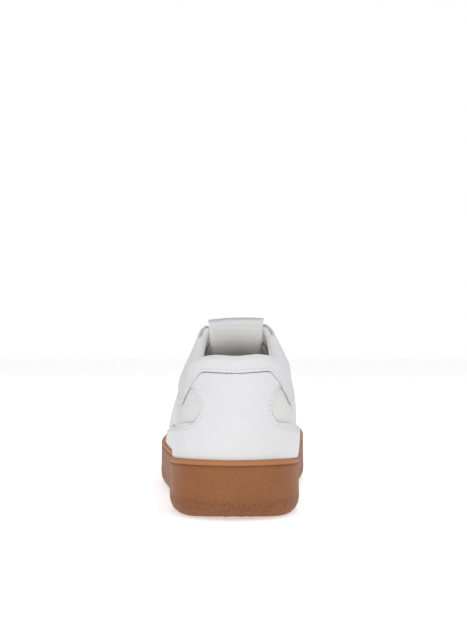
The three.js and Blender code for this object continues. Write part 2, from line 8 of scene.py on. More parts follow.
import bpy
import numpy as np
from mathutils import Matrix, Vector


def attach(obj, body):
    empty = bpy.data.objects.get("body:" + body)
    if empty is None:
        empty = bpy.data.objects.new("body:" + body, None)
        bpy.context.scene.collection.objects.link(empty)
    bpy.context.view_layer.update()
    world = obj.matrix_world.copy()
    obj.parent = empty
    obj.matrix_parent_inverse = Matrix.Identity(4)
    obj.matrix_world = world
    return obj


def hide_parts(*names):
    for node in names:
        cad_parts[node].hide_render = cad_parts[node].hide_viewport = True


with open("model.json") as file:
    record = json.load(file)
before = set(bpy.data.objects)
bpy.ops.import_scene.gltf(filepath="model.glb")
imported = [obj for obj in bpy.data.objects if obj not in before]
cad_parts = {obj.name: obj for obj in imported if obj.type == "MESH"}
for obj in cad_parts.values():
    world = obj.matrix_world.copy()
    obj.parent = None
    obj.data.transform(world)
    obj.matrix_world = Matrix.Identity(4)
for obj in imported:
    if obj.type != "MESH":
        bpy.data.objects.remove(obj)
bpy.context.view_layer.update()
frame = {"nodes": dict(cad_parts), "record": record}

# ---------------------------------------------------------------- dimensions shared with the CAD, in mm
MM = 0.001
SOLE_LENGTH = 295.0
CENTRE_X = -1.745
FEATHER_INSET = 5.2
GAP = 0.3
LEATHER = 1.5
OVERLAY = 1.3
LINING = 0.9
LINING_DEPTH = 3.1
COLLAR_DEPTH = 6.4
TOE = 11
LOOP = 22
OUTER_FACE = GAP + OVERLAY  # outer face of an overlay above the upper's surface
EYELETS = 6  # pairs
EYELET_RADIUS = 2.3
LACE_WIDTH = 7.0
LACE_THICKNESS = 1.2


def mirrored(outer, inner):
    """One closed list of stations from the outer side's list and the inner side's list."""
    return np.array(list(outer) + list(inner[1:TOE])[::-1], float)


def both(values):
    return mirrored(values, values)


OUTLINE = mirrored(
    [[0, -0.7], [4.5, -18.5], [18, -32.5], [45, -39], [90, -40], [135, -46], [178, -51.5], [215, -50.5],
     [248, -44], [273, -32], [289, -15], [295, 5]],
    [[0, -0.7], [4.5, 17.3], [18, 30.5], [43, 36.5], [80, 36.5], [120, 37], [162, 42.5], [202, 47.8],
     [236, 47.5], [264, 41.5], [285, 27], [295, 5]])
RIDGE = [[206, 1, 67], [226, 3, 60], [242, 4, 56], [250, 4.5, 54.5]]
TOPLINE = mirrored(
    [[9, 0, 90.8], [13, -15, 91.2], [29, -24.5, 88], [60, -26.5, 80.5], [93, -24, 94],
     [117, -19.5, 107.5], [151, -13, 94], [185, -10, 76.5]] + RIDGE,
    [[9, 0, 90.8], [13, 14.5, 91.6], [29, 24, 88.5], [60, 26.5, 81], [93, 25, 95],
     [117, 18.5, 108.3], [151, 13.5, 95], [185, 11, 77.5]] + RIDGE)
FEATHER_Z = both([22, 22, 22, 21, 19, 17, 15.5, 15.5, 16.5, 18, 19.5, 20])
LIP_Z = mirrored([33, 33, 32.5, 31, 29.5, 29, 29.5, 31, 33, 34.5, 35.5, 36],
                 [33, 33, 32.5, 31, 29.5, 29.5, 30.5, 32.5, 34, 35, 35.5, 36])
FOOT_OUT = mirrored([4, 4, 4.5, 6.5, 8.5, 9, 6, 3, 2, 1.5, 1.5, 1.5],
                    [4, 4, 6.5, 9.5, 13, 14, 8, 3.5, 2, 1.5, 1.5, 1.5])
FOOT_UP = both([25, 25, 25, 27, 36, 41, 37, 27, 22, 20, 20, 20])
TOP_OUT = mirrored([3, 3, 5, 10, 12, 11, 17, 21, 24, 24, 24, 24],
                   [3, 3, 5, 11, 14, 14, 18, 21, 24, 24, 24, 24])
TOP_DOWN = both([25, 25, 22, 20, 22, 24, 13, 5, 1, 0, 0, 0])

# Panel edges as [station, fraction of the wall's height].
COLLAR_EDGE = [[0, 0.862], [0.8, 0.861], [1.12, 0.866], [1.3, 0.86], [1.55, 0.812], [1.9, 0.745],
               [2.35, 0.695], [3, 0.635], [3.7, 0.61], [4.45, 0.68]]
EYESTAY_EDGE = [[4.45, 0.68], [5, 0.7], [6, 0.72], [6.8, 0.75], [7.2, 0.81], [7.45, 0.89], [7.6, 0.97]]
CAP_EDGE = [[6.3, 0.2], [7.2, 0.29], [8, 0.4], [9, 0.57], [10, 0.73], [11, 0.83]]
FOOT_V = 0.02  # where the panels end, just above the feather edge
EYESTAY_START = 4.45  # station at which the collar panel meets the eyestay
QUARTER_FRONT = 5.7  # station at which the quarter's front edge leaves the sole
VAMP_END = 7.6  # station at which it reaches the throat
CAP_START = 6.3
FIRST_EYELET, LAST_EYELET = (5.35, 0.92), (7.1, 0.9)
TOE_SPRING, TOE_BREAK = 9, 212  # rise of the sole's toe, from this far along
HEEL_SPRING, HEEL_BREAK = 1.5, 22


# ---------------------------------------------------------------- curves
def blend4(a, b, c, d, t):
    """Catmull-Rom between b and c."""
    return 0.5 * (2 * b + (c - a) * t + (2 * a - 5 * b + 4 * c - d) * t ** 2
                  + (3 * b - a - 3 * c + d) * t ** 3)


def around(values, w):
    """Value of a closed list at stations w."""
    w = np.asarray(w, float)
    i = np.floor(w).astype(int)
    t = w - i
    if values.ndim == 2:
        t = t[..., None]
    at = [values[(i + k) % len(values)] for k in (-1, 0, 1, 2)]
    return blend4(*at, t)


def along(pairs, p):
    """Value of an open list of [position, value] at p, flat beyond its ends."""
    pairs = np.array(pairs, float)
    p = np.clip(np.asarray(p, float), pairs[0, 0], pairs[-1, 0])
    i = np.clip(np.searchsorted(pairs[:, 0], p, side="right") - 1, 0, len(pairs) - 2)
    t = (p - pairs[i, 0]) / (pairs[i + 1, 0] - pairs[i, 0])
    at = [pairs[np.clip(i + k, 0, len(pairs) - 1), 1] for k in (-1, 0, 1, 2)]
    return blend4(*at, t)


def smoothstep(x, low, high):
    t = np.clip((x - low) / (high - low), 0, 1)
    return t * t * (3 - 2 * t)


def unit(v):
    return v / np.maximum(np.linalg.norm(v, axis=-1, keepdims=True), 1e-9)


def to_part(s, x, z):
    """A place s along the sole, x across it and z up, in the part's own axes."""
    return np.stack(np.broadcast_arrays(x - CENTRE_X, s - SOLE_LENGTH / 2, z), -1)


def outline(w, inset, z):
    """The sole's outline at stations w, moved inwards by inset, at height z."""
    p, ahead, behind = (around(OUTLINE, w + e) for e in (0, 0.02, -0.02))
    ds, dx = unit(ahead - behind)[..., 0], unit(ahead - behind)[..., 1]
    return to_part(p[..., 0] - dx * inset, p[..., 1] + ds * inset, z)


def station(w):
    """Stations from the heel's back, the same on both sides."""
    w = np.mod(w, LOOP)
    return np.minimum(w, LOOP - w)


# ---------------------------------------------------------------- the upper's surface
def surface(w, v):
    """Point at station w and height fraction v: 0 at the feather edge, 1 at the top line."""
    w, v = np.broadcast_arrays(np.asarray(w, float), np.asarray(v, float))
    foot = outline(w, FEATHER_INSET, around(FEATHER_Z, w))
    top_at = around(TOPLINE, w)
    top = to_part(top_at[..., 0], top_at[..., 1], top_at[..., 2])
    out = outline(w, 0, foot[..., 2]) - outline(w, 1, foot[..., 2])
    plan = foot - top
    plan[..., 2] = 0
    h0 = foot + out * around(FOOT_OUT, w)[..., None]
    h0[..., 2] += around(FOOT_UP, w)
    h1 = top + unit(plan) * around(TOP_OUT, w)[..., None]
    h1[..., 2] -= around(TOP_DOWN, w)
    v = v[..., None]
    u = 1 - v
    return foot * u ** 3 + h0 * 3 * u * u * v + h1 * 3 * u * v * v + top * v ** 3


STEP = 0.01


def slopes(w, v):
    """The surface's two directions: per station and per fraction."""
    v = np.minimum(v, 1 - STEP)
    return ((surface(w + STEP, v) - surface(w - STEP, v)) / (2 * STEP),
            (surface(w, v + STEP) - surface(w, v - STEP)) / (2 * STEP))


def normal(w, v):
    w, v = np.broadcast_arrays(np.asarray(w, float), np.asarray(v, float))
    n = -unit(np.cross(*slopes(w, v)))
    # Across the ridge of the vamp both sides share one normal.
    near = smoothstep(v, 0.8, 1.0) * smoothstep(station(w), 7.6, 8.2)
    other = -unit(np.cross(*slopes(LOOP - w, v)))
    return unit(n * (1 - near[..., None] / 2) + other * near[..., None] / 2)


def layer(w, v, depth):
    """Point on the upper's surface, moved out along its normal by depth."""
    return surface(w, v) + normal(w, v) * np.asarray(depth, float)[..., None]


def fraction_at(w, z):
    """Height fraction at which the surface reaches height z."""
    low, high = np.zeros_like(w), np.ones_like(w)
    for _ in range(24):
        mid = (low + high) / 2
        under = surface(w, mid)[..., 2] < z
        low, high = np.where(under, mid, low), np.where(under, high, mid)
    return low


def lining_depth(w, v):
    """Depth of the lining's outer face: deeper behind the padded collar."""
    back = 1 - smoothstep(station(w), 3.2, 5.2)
    padded = smoothstep(v, 0.35, 0.75)
    return LINING_DEPTH + (COLLAR_DEPTH - LINING_DEPTH) * back * padded


def toe_spring(s):
    """Height of the sole's underside at s along it."""
    toe = np.maximum(0, (s - TOE_BREAK) / (SOLE_LENGTH - TOE_BREAK))
    heel = np.maximum(0, (HEEL_BREAK - s) / HEEL_BREAK)
    return TOE_SPRING * toe ** 2 + HEEL_SPRING * heel ** 2


def quarter_front(v):
    """Station of the quarter's front edge at fraction v."""
    return QUARTER_FRONT + (VAMP_END - QUARTER_FRONT) * v


def on_side(side, w):
    """Station w of the outer side (-1), or its mirror image on the inner side (1)."""
    return w if side < 0 else LOOP - w


SIDES = [(-1, "lateral"), (1, "medial")]
eyelet_share = np.linspace(0, 1, EYELETS)  # from the top pair to the lowest
EYELET_W = FIRST_EYELET[0] + (LAST_EYELET[0] - FIRST_EYELET[0]) * eyelet_share
EYELET_V = FIRST_EYELET[1] + (LAST_EYELET[1] - FIRST_EYELET[1]) * eyelet_share


# ---------------------------------------------------------------- mesh making
def make(name, points, faces, material, body="shoe", uv=None, edge=None):
    """A smooth-shaded object from points in mm. uv is per point; edge is a per-point mask of painted shade,
    painted highlight and grime.
    """
    mesh = bpy.data.meshes.new(name)
    mesh.from_pydata((np.asarray(points) * MM).tolist(), [], [tuple(int(i) for i in f) for f in faces])
    mesh.validate()
    mesh.shade_smooth()
    mesh.materials.append(material)
    if uv is not None:
        loops = np.array([loop.vertex_index for loop in mesh.loops])
        mesh.uv_layers.new(name="UVMap").data.foreach_set("uv", np.asarray(uv, float)[loops].ravel())
    mask = np.ones(len(mesh.vertices)) if edge is None else np.asarray(edge, float)
    mesh.attributes.new("light_and_grime", "FLOAT", "POINT").data.foreach_set("value", mask.astype(np.float32))
    obj = bpy.data.objects.new(name, mesh)
    bpy.context.scene.collection.objects.link(obj)
    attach(obj, body)
    return obj


def grid_faces(rows, cols, closed=False):
    faces = []
    for i in range(rows - 1):
        for j in range(cols if closed else cols - 1):
            k = (j + 1) % cols
            faces.append((i * cols + j, i * cols + k, (i + 1) * cols + k, (i + 1) * cols + j))
    return faces


def merged(points, faces, tolerance=1e-3):
    """Points at one place become one point; returns the kept points' indices and the faces."""
    keys = np.round(points / tolerance).astype(int)
    _, first, inverse = np.unique(keys, axis=0, return_index=True, return_inverse=True)
    kept = np.sort(first)
    place = {f: i for i, f in enumerate(kept)}
    lookup = np.array([place[f] for f in first])[inverse.reshape(-1)]
    out = []
    for f in faces:
        ring = [lookup[i] for i in f]
        ring = [a for i, a in enumerate(ring) if a != ring[i - 1]]
        if len(ring) > 2:
            out.append(tuple(ring))
    return kept, out


def pierced(points, faces, centres, radius):
    """Drops the faces over each hole and moves the hole's rim onto a circle."""
    for centre in centres:
        away = points - centre
        far = np.linalg.norm(away, axis=1)
        inside = {int(i) for i in np.flatnonzero(far < radius * 0.82)}
        gone = [f for f in faces if inside & set(f)]
        faces = [f for f in faces if not inside & set(f)]
        rim = np.array(sorted({i for f in gone for i in f} - inside), int)
        points[rim] = centre + away[rim] * (radius / far[rim])[:, None]
    return faces


def skin(name, points, normals, faces, material, drop, radius=0.6, body="shoe"):
    """A sheet of leather from its outer face: edges rounded over and running down by drop."""
    a, b, c = (points[[f[i] for f in faces]] for i in (0, 1, 2))
    if (np.cross(b - a, c - a) * normals[[f[0] for f in faces]]).sum() < 0:
        faces = [f[::-1] for f in faces]
    directed = {}
    for f in faces:
        for p, q in zip(f, f[1:] + f[:1]):
            if directed.get(q) and p in directed[q]:
                directed[q].remove(p)
            else:
                directed.setdefault(p, set()).add(q)
    follows = {p: next(iter(q)) for p, q in directed.items() if q}
    comes = {q: p for p, q in follows.items()}
    edge = np.array(sorted(set(follows) & set(comes)))
    n = normals[edge]
    base = points[edge]
    tangent = unit(points[[follows[i] for i in edge]] - points[[comes[i] for i in edge]])
    inward = unit(np.cross(n, tangent))
    top = points.copy()
    top[edge] += inward * radius
    # The mask falls towards and down the rounded edges; materials paint shade and grime there.
    mask = np.ones(len(points))
    mask[edge] = 0.35
    rings, masks = [top], [mask]
    for t, m in ((22, 0.25), (45, 0.15), (68, 0.1), (90, 0.0)):
        t = math.radians(t)
        rings.append(base + inward * radius * (1 - math.sin(t)) - n * radius * (1 - math.cos(t)))
        masks.append(np.full(len(edge), m))
    rings.append(base - n * drop)
    masks.append(np.zeros(len(edge)))
    where = {int(e): i for i, e in enumerate(edge)}
    starts = [len(points) + len(edge) * k for k in range(len(rings) - 1)]
    for p, q in follows.items():
        if p in where and q in where:
            loops = [(p, q)] + [(s + where[p], s + where[q]) for s in starts]
            faces = faces + [(low[0], high[0], high[1], low[1]) for low, high in zip(loops, loops[1:])]
    return make(name, np.concatenate(rings), faces, material, body, edge=np.concatenate(masks))


def panel(name, w, v, material, top=OUTER_FACE, bottom=0.0, radius=0.6, holes=()):
    """A leather panel over a grid of places (w, v) on the upper."""
    points = layer(w, v, np.full(w.shape, top)).reshape(-1, 3)
    normals = normal(w, v).reshape(-1, 3)
    kept, faces = merged(points, grid_faces(*w.shape))
    points, normals = points[kept], normals[kept]
    faces = pierced(points, faces, holes, EYELET_RADIUS)
    return skin(name, points, normals, faces, material, top - bottom, radius)


def inset_path(w, v, distance):
    """A path of places moved sideways along the surface, to the left of its direction."""
    p = surface(w, v)
    tangent = unit(np.gradient(p, axis=0))
    aside = np.cross(normal(w, v), tangent) * distance
    sw, sv = slopes(w, v)
    aa, ab, bb = (sw * sw).sum(-1), (sw * sv).sum(-1), (sv * sv).sum(-1)
    pa, pb = (aside * sw).sum(-1), (aside * sv).sum(-1)
    det = aa * bb - ab * ab
    return w + (pa * bb - pb * ab) / det, v + (pb * aa - pa * ab) / det


def stitches(name, paths, depth=OUTER_FACE, pitch=2.7, length=2.0, radius=0.3, material=None, body="shoe"):
    """Threads along paths of places (w, v) on the upper: short rounded stitches, half sunk."""
    lines = [(layer(w, v, np.full(w.shape, depth + 0.02)), normal(w, v)) for w, v in paths]
    return thread(name, lines, pitch, length, radius, material, body)


def thread(name, lines, pitch, length, radius, material, body):
    points, faces = [], []
    rings, sides = 5, 6
    for line, up in lines:
        run = np.concatenate([[0], np.cumsum(np.linalg.norm(np.diff(line, axis=0), axis=1))])
        count = int(run[-1] // pitch)
        for k in range(count):
            ends = [np.array([np.interp(d, run, line[:, i]) for i in range(3)])
                    for d in ((k + 0.5) * pitch - length / 2, (k + 0.5) * pitch + length / 2)]
            n = np.array([np.interp((k + 0.5) * pitch, run, up[:, i]) for i in range(3)])
            ahead = ends[1] - ends[0]
            across = unit(np.cross(n, ahead))
            first = len(points)
            for i in range(rings):
                t = i / (rings - 1)
                fat = radius * (0.35 + 0.65 * math.sin(math.pi * t) ** 0.6)
                centre = ends[0] + ahead * t + n * (math.sin(math.pi * t) * radius * 0.7 - radius * 0.5)
                for j in range(sides):
                    turn = 2 * math.pi * j / sides
                    points.append(centre + across * fat * math.cos(turn) + n * fat * math.sin(turn))
            for i in range(rings - 1):
                for j in range(sides):
                    q = (j + 1) % sides
                    faces.append((first + i * sides + j, first + i * sides + q,
                                  first + (i + 1) * sides + q, first + (i + 1) * sides + j))
    obj = make(name, np.array(points), faces, material, body)
    return obj


# ---------------------------------------------------------------- materials
class Nodes:
    """Short calls for building one material's node tree."""

    def __init__(self, name, **shader):
        self.material = bpy.data.materials.new(name)
        self.material.use_nodes = True
        self.tree = self.material.node_tree
        self.shader = self.tree.nodes["Principled BSDF"]
        for key, value in shader.items():
            self.shader.inputs[key.replace("_", " ")].default_value = value
        self.place = self.tree.nodes.new("ShaderNodeTexCoord").outputs["Object"]

    def node(self, kind, out=0, props=(), **inputs):
        """A node's output; inputs are given by name, or by number as i0, i1 and so on."""
        n = self.tree.nodes.new("ShaderNode" + kind)
        for key, value in dict(props).items():
            setattr(n, key, value)
        for key, value in inputs.items():
            numbered = key[0] == "i" and key[1:].isdigit()
            socket = n.inputs[int(key[1:]) if numbered else key.replace("_", " ")]
            self.feed(socket, value)
        return n.outputs[out]

    def feed(self, socket, value):
        if isinstance(value, bpy.types.NodeSocket):
            self.tree.links.new(value, socket)
        elif isinstance(value, (tuple, list)) and len(value) == 3 and socket.type == "RGBA":
            socket.default_value = (*value, 1)
        else:
            socket.default_value = value

    def noise(self, scale, detail=3, rough=0.55, at=None):
        return self.node("TexNoise", Scale=scale, Detail=detail, Roughness=rough, Vector=at or self.place)

    def math(self, what, a, b=0.0):
        return self.node("Math", props={"operation": what}, i0=a, i1=b)

    def ramp(self, value, low, high, out_low=0.0, out_high=1.0):
        return self.node("MapRange", Value=value, i1=low, i2=high, i3=out_low, i4=out_high)

    def mix(self, share, a, b):
        return self.node("Mix", out=2, props={"data_type": "RGBA"}, i0=share, i6=a, i7=b)

    # The per-point mask of painted shade, painted highlight and grime.
    def light_and_grime(self):
        return self.node("Attribute", out=2, props={"attribute_name": "light_and_grime"})

    def stretched(self, x, y, z):
        return self.node("Mapping", Vector=self.place, Scale=(x, y, z))

    def bump(self, height, distance, strength=1.0, under=None):
        inputs = {"Height": height, "Distance": distance, "Strength": strength}
        if under is not None:
            inputs["Normal"] = under
        return self.node("Bump", **inputs)

    def finish(self, **outputs):
        for key, value in outputs.items():
            self.feed(self.shader.inputs[key.replace("_", " ")], value)
        return self.material


def leather(name, colour, dark, creases=False):
    """Fine-grained white leather: pebble, soft pores, a little dirt and painted shade along the edges."""
    m = Nodes(name, Specular_IOR_Level=0.42, Sheen_Weight=0.06, Coat_Weight=0.05, Coat_Roughness=0.35)
    cells = m.node("TexVoronoi", props={"feature": "SMOOTH_F1"}, Scale=1150.0, Vector=m.place,
                   Smoothness=0.6)
    pores = m.noise(2600.0, 2)
    hills = m.noise(70.0, 4)
    cloud = m.noise(26.0, 3)
    tone = m.ramp(cloud, 0.35, 0.7)
    base = m.mix(m.math("MULTIPLY", tone, 0.55), colour, dark)
    # Darker along the panels' edges and down their rounded sides: painted shade under the edges, mottled like
    # grime.
    edge = m.ramp(m.light_and_grime(), 0.0, 0.45, 0.75, 0.0)
    grime_and_shade = m.math("MULTIPLY", edge, m.ramp(m.noise(160.0, 3), 0.3, 0.75, 0.35, 1.0))
    base = m.mix(grime_and_shade, base, tuple(c * 0.55 for c in dark))
    height = m.bump(hills, 0.0006, 0.35)
    if creases:
        folds = m.node("TexWave", props={"bands_direction": "Y"}, Scale=38.0, Distortion=9.0, Detail=3.0,
                       Detail_Scale=1.2, Vector=m.stretched(0.55, 1.0, 0.8))
        y = m.node("SeparateXYZ", out=1, Vector=m.place)
        near = m.math("MULTIPLY", m.ramp(y, 0.03, 0.055), m.ramp(y, 0.098, 0.07))
        height = m.bump(m.math("MULTIPLY", folds, near), 0.0011, 0.6, height)
    height = m.bump(cells, 0.00016, 0.5, height)
    height = m.bump(pores, 0.00006, 0.5, height)
    rough = m.ramp(m.math("ADD", m.math("MULTIPLY", cells, 0.4), cloud), 0.3, 1.0, 0.4, 0.6)
    return m.finish(Base_Color=base, Roughness=rough, Normal=height)


def textile(name, colour, dark, pitch=0.0011):
    """Brushed lining: a fine knit under a nap."""
    m = Nodes(name, Specular_IOR_Level=0.2, Sheen_Weight=0.35, Sheen_Roughness=0.5)
    x, y = (m.node("TexWave", props={"bands_direction": d}, Scale=0.1 / pitch, Distortion=1.2, Detail=1.0,
                   Vector=m.place) for d in ("DIAGONAL", "Z"))
    knit = m.math("MULTIPLY", x, y)
    nap = m.noise(1900.0, 4, 0.7)
    cloud = m.noise(45.0, 4)
    base = m.mix(m.ramp(nap, 0.3, 0.75), dark, colour)
    base = m.mix(m.ramp(cloud, 0.3, 0.75, 0.0, 0.35), base, dark)
    height = m.bump(knit, 0.00025, 0.5)
    height = m.bump(nap, 0.0003, 0.6, height)
    return m.finish(Base_Color=base, Roughness=0.93, Normal=height)


def gum():
    """Gum rubber: speckled, with a painted highlight on the lip and painted shade in the groove, rough low
    down on the wall.
    """
    m = Nodes("gum_rubber", Specular_IOR_Level=0.32, Coat_Weight=0.0)
    specks = m.node("TexVoronoi", Scale=900.0, Vector=m.place, Randomness=1.0)
    grain = m.noise(1300.0, 3, 0.7)
    cloud = m.noise(34.0, 4)
    base = m.mix(m.ramp(grain, 0.36, 0.66), (0.22, 0.073, 0.022), (0.345, 0.13, 0.047))
    base = m.mix(m.ramp(cloud, 0.35, 0.7, 0.0, 0.45), base, (0.37, 0.15, 0.058))
    base = m.mix(m.ramp(specks, 0.0, 0.22, 0.45, 0.0), base, (0.15, 0.047, 0.014))
    # Paler on the lip: a painted highlight on its top.
    lip = m.ramp(m.light_and_grime(), 0.5, 1.0)
    base = m.mix(m.math("MULTIPLY", lip, 0.8), base, (0.52, 0.225, 0.085))
    # Darker in the groove: painted shade in the recess.
    groove = m.ramp(m.light_and_grime(), 0.2, 0.0)
    base = m.mix(m.math("MULTIPLY", groove, 0.75), base, (0.22, 0.07, 0.015))
    z = m.node("SeparateXYZ", out=2, Vector=m.place)
    low = m.math("MULTIPLY", m.ramp(z, 0.0115, 0.0085), m.ramp(z, 0.0005, 0.002))
    coarse = m.noise(620.0, 3, 0.65)
    base = m.mix(m.math("MULTIPLY", low, m.ramp(coarse, 0.42, 0.6, 0.0, 0.5)), base, (0.17, 0.065, 0.022))
    height = m.bump(m.math("MULTIPLY", coarse, m.math("ADD", low, 0.12)), 0.0011, 0.8)
    height = m.bump(grain, 0.00016, 0.7, height)
    return m.finish(Base_Color=base, Roughness=m.ramp(cloud, 0.3, 0.8, 0.5, 0.68), Normal=height)


def woven(name, colour, dark):
    """Flat cotton lace: herringbone threads along its own length, from its UV in mm."""
    m = Nodes(name, Specular_IOR_Level=0.2, Sheen_Weight=0.3, Sheen_Roughness=0.4)
    uv = m.node("TexCoord", out=2)
    u = m.node("SeparateXYZ", out=0, Vector=uv)
    v = m.node("SeparateXYZ", out=1, Vector=uv)
    away = m.math("ABSOLUTE", v)
    threads = m.math("SINE", m.math("MULTIPLY", m.math("ADD", u, m.math("MULTIPLY", away, 0.8)), 7.0))
    ribs = m.math("SINE", m.math("MULTIPLY", v, 9.0))
    weave = m.math("ADD", m.math("MULTIPLY", threads, 0.6), m.math("MULTIPLY", ribs, 0.4))
    fuzz = m.noise(2400.0, 4, 0.7)
    base = m.mix(m.ramp(weave, -0.8, 0.5), dark, colour)
    height = m.bump(weave, 0.00022, 0.8)
    height = m.bump(fuzz, 0.00012, 0.6, height)
    return m.finish(Base_Color=base, Roughness=0.85, Normal=height)


def plain(name, colour, dark, scale, rough, depth):
    """Thread, board, foam, stiffener and lace tips: grained by noise of their own scale."""
    m = Nodes(name, Specular_IOR_Level=0.3)
    grain = m.noise(scale, 4, 0.65)
    return m.finish(Base_Color=m.mix(m.ramp(grain, 0.3, 0.7), dark, colour), Roughness=rough,
                    Normal=m.bump(grain, depth, 0.6))


WHITE, SHADE = (0.80, 0.80, 0.815), (0.72, 0.715, 0.725)
upper_leather = leather("white_leather", WHITE, SHADE)
warm_leather = leather("white_leather_side", (0.8, 0.797, 0.795), (0.73, 0.725, 0.72))
vamp_leather = leather("white_leather_creased", WHITE, SHADE, creases=True)
thread_white = plain("sewing_thread", (0.78, 0.78, 0.79), (0.6, 0.6, 0.61), 3000.0, 0.6, 0.0001)
lining_cloth = textile("lining_textile", (0.93, 0.915, 0.885), (0.8, 0.785, 0.75))
sock_cloth = textile("sockliner_textile", (0.74, 0.725, 0.69), (0.58, 0.565, 0.53))
gum_rubber = gum()
lace_cotton = woven("lace_cotton", (0.79, 0.79, 0.8), (0.6, 0.6, 0.62))
HIDDEN = {
    "foam": plain("open_foam", (0.72, 0.69, 0.6), (0.6, 0.57, 0.48), 1500.0, 0.95, 0.0004),
    "board": plain("fibre_board", (0.55, 0.46, 0.33), (0.42, 0.34, 0.23), 700.0, 0.9, 0.0002),
    "stiffener": plain("stiffener_sheet", (0.62, 0.58, 0.48), (0.52, 0.48, 0.4), 500.0, 0.7, 0.0001),
    "tip": plain("lace_tip", (0.8, 0.8, 0.8), (0.7, 0.7, 0.7), 400.0, 0.28, 0.00003),
}
slots = {part["node"]: part["material_slot"] for part in frame["record"]["subparts"]}
for node, obj in frame["nodes"].items():
    if slots[node] in HIDDEN:
        obj.data.materials.clear()
        obj.data.materials.append(HIDDEN[slots[node]])


# ---------------------------------------------------------------- the sole
RIM = np.linspace(0, LOOP, 265)[:-1]
rim_s = around(OUTLINE, RIM)[:, 0]
spring = toe_spring(rim_s)
lip = around(LIP_Z, RIM)
GROOVE_DROP = 3.3  # from the lip's top down to the middle of the groove
TREAD = 1.3  # height of the tread bars and of the flat rim round them


def seat(share, clearance):
    return layer(RIM, fraction_at(RIM, lip) * share, clearance)


def build_sole():
    loops = [(outline(RIM, 12.4, spring + TREAD), 0.4), (outline(RIM, 12.2, spring + TREAD), 0.4),
             (outline(RIM, 11.9, spring + 0.1), 0.4), (outline(RIM, 11.6, spring), 0.4),
             (outline(RIM, 7, spring), 0.4)]
    for t in np.radians([15, 32, 50, 68, 82]):
        loops.append((outline(RIM, 7 - 6.9 * math.sin(t), spring + 8.2 * (1 - math.cos(t)) ** 1.25), 0.4))
    wall_top = lip - GROOVE_DROP - 0.75
    loops += [(outline(RIM, 0.0, spring + 9), 0.4)]
    for share in (0.35, 0.7, 0.92):
        loops.append((outline(RIM, 0.1 + 0.2 * share, spring + 9 + (wall_top - spring - 9) * share), 0.4))
    # In the groove the mask drops to 0.1, which paints shade into the recess.
    for drop, depth, mask in ((0.6, 0.3, 0.4), (0.4, 0.38, 0.35), (0.2, 0.65, 0.1), (0.0, 0.8, 0.1),
                              (-0.2, 0.6, 0.1), (-0.4, 0.32, 0.4), (-0.65, 0.16, 0.8)):
        loops.append((outline(RIM, depth, lip - GROOVE_DROP - drop), mask))
    # On the lip's rounded top the mask is 1, which paints a highlight there.
    for drop, depth in ((1.9, 0.15), (1.1, 0.3), (0.55, 0.62), (0.18, 1.15), (0.0, 1.8)):
        loops.append((outline(RIM, depth, lip - drop), 1.0))
    # Between the heel panel's strip and the toe cap the cup lies on the quarter itself.
    bare = smoothstep(station(RIM), 5.5, 5.7) * (1 - smoothstep(station(RIM), 6.2, 6.4))
    clearance = 1.75 - 1.55 * bare
    loops += [(seat(1, clearance + 0.5), 1.0), (seat(0.96, clearance), 0.2), (seat(0.5, clearance), 0.4),
              (outline(RIM, FEATHER_INSET + 0.5, spring + 7), 0.4)]
    n = len(RIM)
    faces = grid_faces(len(loops), n, closed=True)
    last = n * (len(loops) - 1)
    for i in range(n // 2):
        across = (n - i) % n
        faces += [(i, across, n - i - 1, i + 1), (last + i, last + i + 1, last + n - i - 1, last + across)]
    faces = [tuple(dict.fromkeys(f)) for f in faces]
    sole = make("gum_sole", np.concatenate([p for p, _ in loops]), [f[::-1] for f in faces if len(f) > 2],
                gum_rubber, edge=np.concatenate([np.full(n, m) for _, m in loops]))
    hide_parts("outsole_cup")
    return sole


def build_tread():
    """Herringbone bars under the sole, inside its flat rim."""
    bar_pitch, bar_width, zig, half_period = 5.6, 3.4, 4.2, 7.0
    inner = outline(RIM, 12.6, 0)
    half = len(RIM) // 2
    left, right = inner[:half + 1], np.concatenate([inner[half:], inner[:1]])[::-1]
    xs = np.arange(-49, 50, 1.75)
    points, faces = [], []
    for y0 in np.arange(-SOLE_LENGTH / 2 + 8, SOLE_LENGTH / 2 - 8, bar_pitch):
        phase = np.abs(np.mod(xs / half_period, 2) - 1)
        ys = y0 + zig * phase
        low = np.interp(ys, left[:, 1], left[:, 0])
        high = np.interp(ys, right[:, 1], right[:, 0])
        inside = (xs > low + 0.5) & (xs < high - 0.5)
        inside &= (ys > inner[:, 1].min() + 2) & (ys < inner[:, 1].max() - 2)
        before = None
        for x, y, ok in zip(xs, ys, inside):
            if not ok:
                before = None
                continue
            z = float(toe_spring(np.array(y + SOLE_LENGTH / 2)))
            first = len(points)
            half_bar = ((bar_width / 2, TREAD), (bar_width / 2 - 0.25, 0.3), (bar_width / 2 - 0.6, 0.02))
            for dy, dz in [(-d, height) for d, height in half_bar] + list(half_bar[::-1]):
                points.append((x, y + dy, z + dz))
            if before is not None:
                faces += [(before + i, before + i + 1, first + i + 1, first + i) for i in range(5)]
            else:
                faces.append(tuple(range(first, first + 6)))
            before = first
    tread = make("tread_bars", np.array(points), faces, gum_rubber,
                 edge=np.full(len(points), 0.4))
    return tread


build_sole()
build_tread()

# ---------------------------------------------------------------- the upper's panels
def stands_for(obj, slot, *nodes):
    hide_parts(*nodes)
    return obj


def mesh_of(first, last, low, high, across, up):
    """Grid of places between stations, from fraction low(w) to high(w)."""
    w, b = np.meshgrid(np.linspace(first, last, across), np.linspace(0, 1, up), indexing="ij")
    return w, low(w) + (high(w) - low(w)) * b


def flat_line(value):
    return lambda w: np.full(np.shape(w), value)


ROLL_HEIGHT = 3.8
THROAT_V = 0.985


def roll_start(w):
    """Fraction at which the padded collar starts to turn over."""
    return 1 - ROLL_HEIGHT / np.linalg.norm(slopes(w, np.ones(np.shape(w)))[1], axis=-1)


